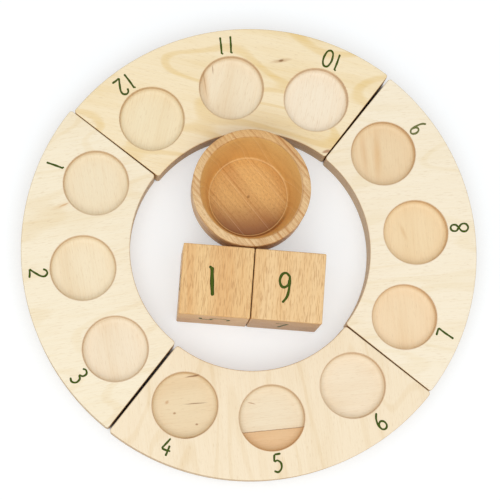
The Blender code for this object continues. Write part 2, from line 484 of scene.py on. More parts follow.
    def _shade_cuts(
        self,
        wire: Wiring,
        wood: Socket,
        facing: bpy.types.NodeOutputs,
        crossed: Socket,
        depth: Socket,
        in_well: Socket,
    ) -> Socket:
        """Darken edges and well walls with their cut tone, partly the cut's own colour and partly painted shade on
        upright faces, most where a veneer's grain ends in the cut.

        Args:
            wire: the material's wiring.
            wood: the colour so far.
            facing: the surface direction, split along the face grain.
            crossed: 1 in a crosswise veneer.
            depth: the depth below the face, in veneers.
            in_well: 1 inside a well, where the cut tone with its painted shade, the end grain and the glue lines
                are laid more lightly.

        Returns:
            The shaded colour.
        """
        along, across, level = (wire.sum("ABSOLUTE", part) for part in (facing[0], facing[1], facing[2]))
        cut_strength = wire.sum("MULTIPLY_ADD", in_well, -0.45, 1.0)
        upright = wire.times(wire.ramp(level, 0.25, 0.97, 1.0, 0.0), cut_strength)
        ends = wire.node("Mix", {0: crossed, 2: along, 3: across}).outputs[0]
        # The cut tone is partly the cut's own colour and partly painted shade on upright faces.
        wood = wire.blend(wire.times(upright, 0.85), wood, self.cut_tone, "MULTIPLY")
        end_share = wire.times(wire.ramp(ends, 0.25, 0.95, 0.0, 0.75), upright)
        wood = wire.blend(end_share, wood, self.cut_end_tone, "MULTIPLY")
        glued = wire.sum("LESS_THAN", wire.sum("FRACT", depth), self.glue_share)
        glue_share = wire.times(wire.times(glued, upright), 0.6)
        return wire.blend(glue_share, wood, self.glue)


class Cut(Enum):
    """How a beech piece got its surface."""

    SANDED = "sanded"
    TURNED = "turned"


@dataclass(frozen=True)
class Beech:
    """Steamed beech, sanded or turned, and oiled.

    The eye gets a warm tan with soft growth rings, short dark flecks along the grain on the side
    grain, greyer close-grained ends, and fine lathe lines where it was turned. A pattern's size is
    its length across the grain, along it and upwards.
    """

    name: str
    early: str
    late: str
    fleck: str
    end: str
    centre: Point
    grain_turn: float
    pith: tuple[float, float]
    ring_gap: float
    ring_strength: float
    fleck_strength: float
    cut: Cut = Cut.SANDED
    fleck_length: float = 0.0056
    fleck_width: float = 0.00030
    seed: float = 0.0
    sway_size: Point = (0.038, 0.190, 0.038)
    ring_sway: float = 0.009
    band_size: Point = (0.011, 0.160, 0.011)
    fibre_size: Point = (0.0007, 0.016, 0.0007)
    ragged_size: Point = (0.004, 0.004, 0.0025)
    lathe_pitch: float = 0.0007
    oiled: str = "#FFF2CA"
    lip: str = "#FBE3B8"
    # Painted light: a paler tone laid on the bore's upright walls.
    wall: str = "#FAD58A"
    # Painted shadow of the cup's front wall on the front part of the bore's floor.
    heart: str = "#9E6129"
    # Painted shade on the back part of the rim and outside.
    far: str = "#F6E8CF"
    bright: str = "#FBE0B0"
    # A painted highlight on the lip of the groove round the floor.
    line_light: str = "#E9C07C"
    pip_dark: str = "#8A5A2C"

    def material(self) -> bpy.types.Material:
        """Build the wood as a solid block, its grain along the turned Y axis."""
        material, wire, surface = new_material(self.name)
        place = wire.node("TexCoord").outputs
        block = wire.own_axes(place["Object"], self.grain_turn, self.centre)
        facing = wire.own_axes(place["Normal"], self.grain_turn)
        seed = (self.seed, self.seed, 0.0)
        shifted = wire.node("VectorMath", {0: block, 1: seed}, operation="ADD").outputs[0]

        sway = wire.grain(shifted, self.sway_size, 1.0)
        axes = wire.node("SeparateXYZ", {0: block}).outputs
        across = wire.sum("SUBTRACT", axes[0], self.pith[0])
        upward = wire.sum("SUBTRACT", axes[2], self.pith[1])
        squares = wire.sum("ADD", wire.sum("POWER", across, 2.0), wire.sum("POWER", upward, 2.0))
        radius = wire.sum("ADD", wire.sum("SQRT", squares), wire.times(sway, self.ring_sway))
        ring = wire.sum("DIVIDE", radius, self.ring_gap)
        season = wire.sum("FRACT", ring)
        year = wire.node("TexWhiteNoise", {"W": wire.sum("FLOOR", ring)}, noise_dimensions="1D").outputs[0]
        late = wire.times(wire.ramp(season, 0.25, 0.94), wire.ramp(season, 0.955, 1.0, 1.0, 0.0))
        late = wire.times(late, wire.sum("MULTIPLY_ADD", wire.sum("POWER", year, 1.6), 0.86, 0.14))
        oiled, lip = self._oiled(wire, place["Object"]) if self.cut is Cut.TURNED else (None, None)
        if oiled:
            late = wire.times(late, wire.sum("MULTIPLY_ADD", oiled, -0.50, 1.0))

        bands = wire.grain(shifted, self.band_size, 2.0)
        fibres = wire.grain(shifted, self.fibre_size, 2.0, 0.6)
        flecks = wire.grain(shifted, (self.fleck_width, self.fleck_length, self.fleck_width), 1.0)
        fleck = wire.ramp(flecks, 0.50, 0.68)

        share = wire.times(late, self.ring_strength)
        share = wire.sum("ADD", share, wire.ramp(bands, 0.35, 0.75, 0.0, 0.45))
        share = wire.sum("ADD", share, wire.ramp(fibres, 0.35, 0.8, 0.0, 0.25))
        wood = wire.blend(wire.sum("MINIMUM", share, 1.0), self.early, self.late)
        faces = wire.node("SeparateXYZ", {0: facing}).outputs
        ends = wire.ramp(wire.sum("ABSOLUTE", faces[1]), 0.35, 0.95)
        wood = wire.blend(ends, wood, self.end, "MULTIPLY")
        on_side = wire.sum("MULTIPLY_ADD", ends, -0.6 * self.fleck_strength, self.fleck_strength)
        wood = wire.blend(wire.times(fleck, on_side), wood, self.fleck)
        relief = wire.sum("MULTIPLY_ADD", fleck, -0.6, fibres)
        if oiled:
            flat = wire.node("SeparateXYZ", {0: place["Object"]}).outputs
            forward = wire.sum("SUBTRACT", self.centre[1], flat[1])
            upright = wire.ramp(wire.sum("ABSOLUTE", faces[2]), 0.3, 0.9, 0.4, 0.0)
            # Painted shadow: darkest on the floor's front part, fading up the wall and towards the back.
            stain = wire.ramp(wire.sum("MULTIPLY_ADD", sway, 8 * MM, forward), 3 * MM, 31 * MM, 0.0, 0.97)
            low = wire.ramp(flat[2], 10 * MM, 22 * MM, 1.0, 0.0)
            # Painted shade on the cup's back half, where the bore isn't oiled.
            far_side_shade = wire.ramp(forward, -38 * MM, -4 * MM, 1.0, 0.0)
            pale_years = wire.sum("GREATER_THAN", year, 0.62)
            bright = wire.times(wire.ramp(season, 0.0, 0.14, 0.5, 0.0), pale_years)
            for part, tone, way in (
                (oiled, self.oiled, "MULTIPLY"),
                (wire.times(lip, 0.7), self.lip, "MIX"),
                # Painted light: the bore's upright walls are lightened.
                (wire.times(oiled, upright), self.wall, "MIX"),
                (wire.times(wire.times(oiled, stain), low), self.heart, "MIX"),
                (wire.times(wire.sum("SUBTRACT", 1.0, oiled), far_side_shade), self.far, "MULTIPLY"),
                (wire.times(bright, oiled), self.bright, "MIX"),
            ):
                wood = wire.blend(part, wood, tone, way)
            wood, relief = self._lathe_lines(wire, wood, relief, place["Object"])

        wire.dress(surface, wood, wire.ramp(fibres, 0.3, 0.8, 0.42, 0.56), WOOD_IOR, relief, (0.3, 0.07 * MM))
        return material

    def _oiled(self, wire: Wiring, where: Socket) -> tuple[Socket, Socket]:
        """Find the bore's part that took more oil, whose edge is ragged, and the pale lip above it.

        Args:
            wire: the material's wiring.
            where: the point on the piece.

        Returns:
            The sockets that hold 1 in the golden part and 1 on the lip.
        """
        deep = wire.node("Attribute", attribute_name="golden_depth").outputs["Fac"]
        ragged = wire.grain(where, self.ragged_size, 2.0)
        oiled = wire.ramp(wire.sum("MULTIPLY_ADD", ragged, 3.0, wire.sum("SUBTRACT", deep, 1.5)), -0.25, 0.45)
        lip = wire.times(wire.ramp(deep, -14.0, -12.0), wire.sum("SUBTRACT", 1.0, oiled))
        level = wire.node("SeparateXYZ", {0: where}).outputs[2]
        return oiled, wire.times(lip, wire.ramp(level, 40.7 * MM, 41.3 * MM, 1.0, 0.0))

    def _lathe_lines(self, wire: Wiring, wood: Socket, relief: Socket, where: Socket) -> tuple[Socket, Socket]:
        """Add the tool's fine rings round the axis, a painted highlight on the lip of the groove round the floor,
        painted shade in that groove and the dark pip.

        Args:
            wire: the material's wiring.
            wood: the colour so far.
            relief: the bump height so far.
            where: the point on the piece.

        Returns:
            The colour and the bump height with the lathe's lines.
        """
        centred = wire.node("VectorMath", {0: where, 1: self.centre}, operation="SUBTRACT").outputs[0]
        flat = wire.node("VectorMath", {0: centred, 1: (1, 1, 0)}, operation="MULTIPLY").outputs[0]
        radius = wire.node("VectorMath", {0: flat}, operation="LENGTH").outputs["Value"]
        height = wire.node("SeparateXYZ", {0: centred}).outputs[2]
        inputs = {"W": wire.sum("ADD", radius, height), "Scale": 1 / self.lathe_pitch, "Detail": 2.0}
        rings = wire.node("TexNoise", inputs, noise_dimensions="1D").outputs[0]
        line = wire.node("Attribute", attribute_name="lathe_line").outputs["Fac"]
        for part, tone in (
            (wire.ramp(rings, 0.45, 0.75, 0.0, 0.16), self.fleck),
            (wire.ramp(line, 0.0, 1.0, 0.0, 0.75), self.line_light),
            (wire.ramp(line, -0.05, -1.0, 0.0, 0.55), self.pip_dark),
        ):
            wood = wire.blend(part, wood, tone)
        return wood, wire.sum("MULTIPLY_ADD", rings, 0.9, relief)


@dataclass(frozen=True)
class GreenPaint:
    """Green enamel laid on bare wood with a fine brush.

    The eye gets a thin matt film, darker where it pools at the edges and paler where it is worn.
    """

    name: str
    body: str = "#425709"
    edge: str = "#2B3807"
    bare: str = "#B9AE7E"
    worn: float = 0.0
    drag_size: Point = (0.0005, 0.0005, 0.0005)

    def material(self) -> bpy.types.Material:
        """Build the paint, its tone led across the stroke by the across attribute."""
        material, wire, surface = new_material(self.name)
        across = wire.node("Attribute", attribute_name="across").outputs["Fac"]
        drag = wire.grain(wire.node("TexCoord").outputs["Object"], self.drag_size, 2.0)
        pooled = wire.ramp(wire.sum("MULTIPLY_ADD", drag, 0.5, across), 0.55, 1.15)
        colour = wire.blend(pooled, self.body, self.edge)
        thin = wire.ramp(drag, 0.48, 0.72, self.worn * 0.6, min(1.0, self.worn * 1.6 + 0.05))
        colour = wire.blend(thin, colour, self.bare)
        wire.dress(surface, colour, wire.ramp(drag, 0.3, 0.7, 0.5, 0.7), ENAMEL_IOR, drag, (0.2, 0.03 * MM))
        surface.inputs["Specular IOR Level"].default_value = 0.12
        return material


# Painted figures: each stroke's points, for a figure 1 high whose foot stands at 0

STROKES: dict[str, tuple[tuple[tuple[float, float], ...], ...]] = {
    "0": (
        ((0.05, 1.0), (-0.13, 0.93), (-0.22, 0.7), (-0.24, 0.45), (-0.17, 0.12), (0.0, 0.0))
        + ((0.17, 0.12), (0.24, 0.45), (0.21, 0.75), (0.1, 0.95), (-0.04, 0.99)),
    ),
    "1": (((-0.075, 0.925), (-0.040, 0.962), (0.0, 0.985)), ((0.0, 0.99), (-0.01, 0.5), (0.0, 0.0))),
    "2": (
        ((-0.21, 0.78), (-0.12, 0.95), (0.04, 1.0), (0.19, 0.87), (0.18, 0.66), (0.0, 0.36), (-0.24, 0.03)),
        ((-0.24, 0.03), (0.0, 0.04), (0.25, 0.01)),
    ),
    "3": (
        ((-0.19, 0.9), (-0.02, 1.0), (0.16, 0.9), (0.15, 0.67), (-0.04, 0.54)),
        ((-0.04, 0.54), (0.17, 0.43), (0.2, 0.17), (0.02, 0.0), (-0.21, 0.08)),
    ),
    "4": (
        ((0.04, 1.0), (-0.1, 0.66), (-0.25, 0.33)),
        ((-0.25, 0.33), (0.0, 0.31), (0.26, 0.33)),
        ((0.12, 0.62), (0.11, 0.3), (0.09, 0.0)),
    ),
    "5": (
        ((-0.15, 0.97), (0.02, 0.98), (0.2, 1.0)),
        ((-0.15, 0.97), (-0.17, 0.76), (-0.18, 0.57)),
        ((-0.18, 0.57), (0.01, 0.63), (0.19, 0.48), (0.2, 0.2), (0.02, 0.0), (-0.21, 0.07)),
    ),
    "6": (
        ((0.12, 1.0), (-0.09, 0.74), (-0.2, 0.4), (-0.16, 0.1), (0.02, 0.0))
        + ((0.18, 0.12), (0.18, 0.36), (0.03, 0.49), (-0.12, 0.42), (-0.19, 0.26)),
    ),
    "7": (((-0.21, 0.97), (0.0, 0.98), (0.22, 0.99)), ((0.22, 0.99), (0.08, 0.55), (-0.06, 0.0))),
    "8": (
        ((0.0, 0.54), (-0.17, 0.68), (-0.16, 0.9), (0.0, 1.0), (0.16, 0.9), (0.16, 0.68), (0.0, 0.54))
        + ((-0.2, 0.36), (-0.2, 0.12), (0.0, 0.0), (0.2, 0.12), (0.2, 0.36), (0.0, 0.54)),
    ),
    "9": (
        ((0.17, 0.88), (0.06, 0.99), (-0.08, 0.95), (-0.165, 0.75))
        + ((-0.12, 0.56), (0.0, 0.51), (0.12, 0.6), (0.17, 0.78)),
        ((0.175, 0.92), (0.165, 0.6), (0.085, 0.21), (-0.085, -0.02)),
    ),
}


@dataclass(frozen=True)
class FacePlane:
    """A place on a flat face: its middle, the reading direction and the way a figure's top points."""

    middle: Array
    right: Array
    up: Array

    def lift(self, points: Array) -> Array:
        """Take points from the figure's own plane to the model: middle + x right + y up + z out."""
        out = np.cross(self.right, self.up)
        return self.middle + points @ np.stack([self.right, self.up, out])

    def turned(self, degrees: float) -> "FacePlane":
        """Return the same place with the figure turned counter-clockwise."""
        cos, sin = math.cos(math.radians(degrees)), math.sin(math.radians(degrees))
        return FacePlane(self.middle, cos * self.right + sin * self.up, cos * self.up - sin * self.right)

    def moved(self, across: float, upward: float) -> "FacePlane":
        """Return the same place moved over the face, along its own directions."""
        return FacePlane(self.middle + across * self.right + upward * self.up, self.right, self.up)


@dataclass(frozen=True)
class Brush:
    """A fine brush that lays figures down in rounded strokes of thin paint."""

    width: float
    proud: float = 0.00005
    sunk: float = 0.00012
    waver: float = 0.10
    section_steps: int = 12
    path_step: float = 0.00028
    end_steps: int = 6

    def smooth(self, controls: Array) -> Array:
        """Run a Catmull-Rom curve through the controls.

        Between controls b and c it is half of 2b + (c - a) t + (2a - 5b + 4c - d) t^2 + (3b - a - 3c + d) t^3,
        with a before b and d after c.

        Args:
            controls: the points that a stroke passes.

        Returns:
            Dense points along the stroke.
        """
        first, last = 2 * controls[0] - controls[1], 2 * controls[-1] - controls[-2]
        padded = np.concatenate([first[None], controls, last[None]])
        where = np.linspace(0, len(controls) - 1, 12 * len(controls))
        left = np.minimum(where.astype(int), len(controls) - 2)
        t = (where - left)[:, None]
        a, b, c, d = (padded[left + i] for i in range(4))
        return 0.5 * (2 * b + (c - a) * t + (2 * a - 5 * b + 4 * c - d) * t**2 + (3 * b - a - 3 * c + d) * t**3)

    def stroke(self, controls: Array, phase: float) -> tuple[Array, Array]:
        """Sweep a flat lens along a stroke, half round at both ends.

        At arc length s the half width is w = w0 sqrt(1 - (1 - e / c)^2), where e is the distance to
        the nearer end, at most c, and c is the half width or half the stroke. The section is
        (w cos f, h sin f).

        Args:
            controls: the stroke's points in the figure's plane.
            phase: where the slow waver of the width starts.

        Returns:
            The grid of points, and how far across the stroke each one is, from 0 to 1.
        """
        dense = self.smooth(controls)
        run = np.concatenate([[0.0], np.cumsum(np.linalg.norm(np.diff(dense, axis=0), axis=1))])
        half = self.width / 2
        cap = min(half, 0.42 * run[-1])
        end = cap * (1 - np.cos(np.linspace(0, math.pi / 2, self.end_steps)))
        inner = np.linspace(cap, run[-1] - cap, 3 + round((run[-1] - 2 * cap) / self.path_step))[1:-1]
        spots = np.concatenate([end, inner, run[-1] - end[::-1]])
        line = np.stack([np.interp(spots, run, dense[:, i]) for i in range(2)], axis=-1)
        ahead = np.gradient(line, axis=0)
        ahead /= np.linalg.norm(ahead, axis=1, keepdims=True)
        aside = np.stack([-ahead[:, 1], ahead[:, 0]], axis=-1)
        near_end = np.minimum(np.minimum(spots, run[-1] - spots), cap)
        fullness = np.sqrt(np.clip(1 - (1 - near_end / cap) ** 2, 0, 1))
        wave = 1 + self.waver * np.sin(spots / self.width * 1.3 + phase)
        turn = np.linspace(0, math.tau, self.section_steps, endpoint=False)
        out = np.outer(fullness * half * wave, np.cos(turn))
        rise = np.outer(fullness, np.where(np.sin(turn) > 0, self.proud, self.sunk) * np.sin(turn))
        flat = line[:, None, :] + out[..., None] * aside[:, None, :]
        across = np.broadcast_to(np.abs(np.cos(turn)), out.shape).copy()
        across[0], across[-1] = 1.0, 1.0
        return np.concatenate([flat, rise[..., None]], axis=-1), across

    def paint(self, shell: Shell, figure: str, plane: FacePlane, height: float) -> None:
        """Paint one figure.

        Args:
            shell: the surface that the strokes are added to.
            figure: the digit.
            plane: the middle of the figure's place.
            height: the figure's height.
        """
        for number, points in enumerate(STROKES[figure]):
            controls = (np.array(points) - np.array([0.0, 0.5])) * height
            grid, across = self.stroke(controls, phase=1.7 * number + int(figure))
            shell.add(plane.lift(grid), True, across=across)


# Pieces


@dataclass(frozen=True)
class Edge:
    """A stretch of outline in the plane: its points and the ways that it faces."""

    points: Array
    normals: Array

    def inset(self, distance: float) -> Array:
        """Return the stretch moved inwards by a distance."""
        return self.points - distance * self.normals

    def mirrored(self) -> "Edge":
        """Return the stretch mirrored in the X axis, run the other way."""
        flip = np.array([1.0, -1.0])
        return Edge((self.points * flip)[::-1], (self.normals * flip)[::-1])


def arc_edge(
    centre: tuple[float, float], radius: float, start: float, stop: float, steps: int, facing: float
) -> Edge:
    """Return an arc as a stretch of outline."""
    return Edge(arc(centre, radius, start, stop, steps), facing * arc((0.0, 0.0), 1.0, start, stop, steps))


def line_edge(start: Array, stop: Array, steps: int) -> Edge:
    """Return a straight stretch, finer near its ends, that faces right of its direction.

    Args:
        start: the first point.
        stop: the last point.
        steps: how many steps it has.

    Returns:
        The stretch.
    """
    share = (1 - np.cos(np.linspace(0, math.pi, steps + 1))) / 2
    ahead = (stop - start) / np.linalg.norm(stop - start)
    normals = np.broadcast_to(np.array([ahead[1], -ahead[0]]), (steps + 1, 2))
    return Edge(start + share[:, None] * (stop - start), normals)


def join(*edges: Edge) -> Edge:
    """Run stretches on from one another, each shared point kept once."""
    points = np.concatenate([edge.points[:-1] for edge in edges])
    return Edge(points, np.concatenate([edge.normals[:-1] for edge in edges]))


@dataclass(frozen=True)
class Board:
    """The shape that all four quarters share, with its middle along +X."""

    inner_radius: float = 0.078961
    outer_radius: float = 0.1500
    thickness: float = 0.020
    end_cut: float = 0.0004
    corner_round: float = 0.0020
    arris_round: float = 0.0008
    well_circle: float = 0.110261
    well_radius: float = 0.0215
    well_depth: float = 0.006
    well_fillet: float = 0.0040
    well_rim_round: float = 0.0004
    support: float = 0.0003
    arc_steps: int = 34
    side_steps: int = 26
    corner_steps: int = 6
    arris_steps: int = 5
    fillet_steps: int = 12
    rim_steps: int = 4

    @property
    def sector(self) -> float:
        """Half of the angle that one month takes."""
        return math.pi / 12

    def upper_end(self) -> Edge:
        """Return the outline from the outer arc at a month's border, round the end, to the inner arc."""
        end = math.pi / 4
        along = np.array([math.cos(end), math.sin(end)])
        normal = np.array([-along[1], along[0]])
        set_in = self.end_cut + self.corner_round

        def corner(reach: float) -> Array:
            return along * math.sqrt(reach**2 - set_in**2) - normal * set_in

        outer = corner(self.outer_radius - self.corner_round)
        inner = corner(self.inner_radius + self.corner_round)
        outer_turn = math.atan2(outer[1], outer[0])
        inner_turn = math.atan2(inner[1], inner[0])
        side = end + math.pi / 2
        last = self.ring_arc(self.inner_radius, inner_turn, self.sector)
        # Each rounded corner turns from the way one stretch faces to the way the next one does, and
        # the last point is said twice, so that join keeps it
        return join(
            self.ring_arc(self.outer_radius, self.sector, outer_turn),
            arc_edge(tuple(outer), self.corner_round, outer_turn, side, self.corner_steps, 1),
            line_edge(outer + normal * self.corner_round, inner + normal * self.corner_round, self.side_steps),
            arc_edge(tuple(inner), self.corner_round, side, inner_turn + math.pi, self.corner_steps, 1),
            Edge(*(np.vstack([part, part[-1:]]) for part in (last.points, last.normals))),
        )

    def ring_arc(self, radius: float, start: float, stop: float) -> Edge:
        """Return an arc about the ring's centre, which faces outwards if it runs counter-clockwise."""
        return arc_edge((0.0, 0.0), radius, start, stop, self.arc_steps, math.copysign(1.0, stop - start))

    def border(self, turn: float, outward: bool, inset: float) -> Edge:
        """Return the straight border between two months, at a turn from the middle.

        Args:
            turn: the border's angle.
            outward: whether it runs from the inner arc to the outer one.
            inset: how far both of its ends stand back from the outline.

        Returns:
            The stretch.
        """
        way = np.array([math.cos(turn), math.sin(turn)])
        near, far = way * (self.inner_radius + inset), way * (self.outer_radius - inset)
        return line_edge(near, far, self.side_steps) if outward else line_edge(far, near, self.side_steps)

    def month_loop(self, which: int) -> Edge:
        """Return the closed border of one month's part of the top, arrises left off.

        Args:
            which: 0 for the middle month and 1 for the one at the upper end.

        Returns:
            The loop of points, with the way each one faces.
        """
        back = self.arris_round
        if which == 0:
            outer = self.ring_arc(self.outer_radius - back, -self.sector, self.sector)
            inner = self.ring_arc(self.inner_radius + back, self.sector, -self.sector)
            return join(outer, self.border(self.sector, False, back), inner, self.border(-self.sector, True, back))
        end, side = self.upper_end(), self.border(self.sector, True, back)
        points = np.concatenate([end.inset(back), side.points[1:-1]])
        return Edge(points, np.concatenate([end.normals, side.normals[1:-1]]))

    def well_rows(self) -> Array:
        """Return the well's section: flat floor, rounded corner, wall and eased rim, as (radius, height)."""
        floor = self.thickness - self.well_depth
        fillet = (self.well_radius - self.well_fillet, floor + self.well_fillet)
        rim = (self.well_radius + self.well_rim_round, self.thickness - self.well_rim_round)
        flat = fillet[0] * np.array([0.0, 0.3, 0.6, 0.85, 0.985])
        bottom = np.stack([flat, np.full_like(flat, floor)], axis=-1)
        corner = arc(fillet, self.well_fillet, -math.pi / 2, 0.0, self.fillet_steps)
        brim = arc(rim, self.well_rim_round, math.pi, math.pi / 2, self.rim_steps)
        return np.concatenate([bottom, corner, brim, [[rim[0] + self.support, self.thickness]]])

    def month_grid(self, loop: Edge, centre: Array, rows: Array) -> tuple[Array, Array]:
        """Fill a month's part with rays from its well's centre to its border.

        Each ray first follows the given rows, at centre + radius times the ray's direction, and then
        runs on at the last row's height to the border in eased steps, with a close step at its end.

        Args:
            loop: the part's border.
            centre: the well's centre.
            rows: radius and height pairs.

        Returns:
            The grid, and each point's distance from the well's centre.
        """
        ray = loop.points - centre
        full = np.linalg.norm(ray, axis=1)
        ray = ray / full[:, None]
        square = np.clip((ray * loop.normals).sum(axis=1), 0.35, 1.0)
        start, height = rows[-1]
        shares = np.array([0.12, 0.35, 0.65, 0.9])[:, None]
        last = full - self.support / square
        given = np.broadcast_to(rows[:, :1], (len(rows), len(full)))
        reach = np.concatenate([given, start + shares * (last - start), last[None], full[None]])
        level = np.concatenate([rows[:, 1], np.full(len(reach) - len(rows), height)])
        flat = centre + reach[..., None] * ray
        return np.concatenate([flat, np.broadcast_to(level[:, None, None], (*reach.shape, 1))], axis=-1), reach

    def skirt(self) -> Array:
        """Carry the edge's section, arris, wall and arris, round the whole outline."""
        end = self.upper_end()
        outer = self.ring_arc(self.outer_radius, -self.sector, self.sector)
        inner = self.ring_arc(self.inner_radius, self.sector, -self.sector)
        outline = join(outer, end, inner, end.mirrored())
        turn = np.linspace(0, math.pi / 2, self.arris_steps + 1)
        back = self.arris_round * (1 - np.sin(turn))
        drop = self.arris_round * (1 - np.cos(turn))
        near = self.arris_round + self.support
        insets = np.concatenate([back, [0.0, 0.0], back[::-1]])
        heights = np.concatenate([self.thickness - drop, [self.thickness - near, near], drop[::-1]])
        grid = outline.points[None] - insets[:, None, None] * outline.normals[None]
        level = np.broadcast_to(heights[:, None, None], (*grid.shape[:2], 1))
        return np.concatenate([grid, level], axis=-1)

    def shell(self) -> Shell:
        """Sew a whole quarter: three month parts above, three below, and the skirt between."""
        shell = Shell()
        floor_rows = np.array([[0.0, 0.0], [0.3, 0.0], [0.7, 0.0], [1.0, 0.0]]) * self.well_radius
        shell.add(self.skirt(), True, month_share=0.5, well_reach=1.0)
        for which in (-1, 0, 1):
            loop = self.month_loop(abs(which))
            turn = 2 * self.sector * abs(which)
            centre = self.well_circle * np.array([math.cos(turn), math.sin(turn)])
            flip = np.array([1.0, -1.0 if which < 0 else 1.0, 1.0])
            share = (which + 1) / 2
            top, reach = self.month_grid(loop, centre, self.well_rows())
            shell.add(top * flip, True, month_share=share, well_reach=reach)
            under, _ = self.month_grid(loop, centre, floor_rows)
            shell.add(under * flip, True, month_share=share, well_reach=1.0)
        return shell


@dataclass(frozen=True)
class Quarter:
    """One loose quarter of the ring, with three months' wells and their painted numbers."""

    name: str
    node: str
    body: str
    months: tuple[int, int, int]
    middle: float
    lay_turn: float
    outward_slip: float
    onward_slip: float
    finish: BirchPlywood
    board: Board = Board()
    band_radius: float = 0.1396
    figure_height: float = 0.0118
    figure_step: float = 0.0066
    brush: Brush = Brush(width=0.00135)

    def lay(self, points: Array) -> Array:
        """Take points from the quarter's own plane to where it was laid."""
        middle = math.radians(self.middle)
        outward = np.array([math.cos(middle), math.sin(middle), 0.0])
        onward = np.array([-math.sin(middle), math.cos(middle), 0.0])
        slip = outward * self.outward_slip + onward * self.onward_slip
        return turn_about_z(points, middle + math.radians(self.lay_turn)) + slip

    def build(self) -> bpy.types.Object:
        """Make the quarter's board and put it on its body."""
        shell = self.board.shell()
        shell.points = [self.lay(points) for points in shell.points]
        piece = shell.build(self.name, self.finish.material())
        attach(piece, self.body)
        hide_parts(self.node)
        return piece

    def paint_month(self, which: int) -> bpy.types.Object:
        """Paint one month's number on the band outside its well, its top towards the ring's centre.

        Args:
            which: 0, 1 or 2, counter-clockwise.

        Returns:
            The painted number.
        """
        month = self.months[which]
        shell = Shell()
        digits = str(month)
        for place, digit in enumerate(digits):
            along = (place - (len(digits) - 1) / 2) * self.figure_step
            turn = 2 * self.board.sector * (which - 1) + along / self.band_radius
            spots = np.array([[self.band_radius, 0.0, self.board.thickness], [0.0, 1.0, 0.0], [-1.0, 0.0, 0.0]])
            spots = turn_about_z(spots, turn)
            laid = self.lay(np.vstack([spots, np.zeros((1, 3))]))
            plane = FacePlane(laid[0], laid[1] - laid[3], laid[2] - laid[3])
            tilt = 4.0 * math.sin(2.1 * month + place)
            self.brush.paint(shell, digit, plane.turned(tilt), self.figure_height)
        worn = 0.34 if month == 9 else 0.0
        paint = GreenPaint(f"green_paint_month_{month:02d}", worn=worn)
        piece = shell.build(f"number_month_{month:02d}", paint.material())
        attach(piece, self.body)
        return piece


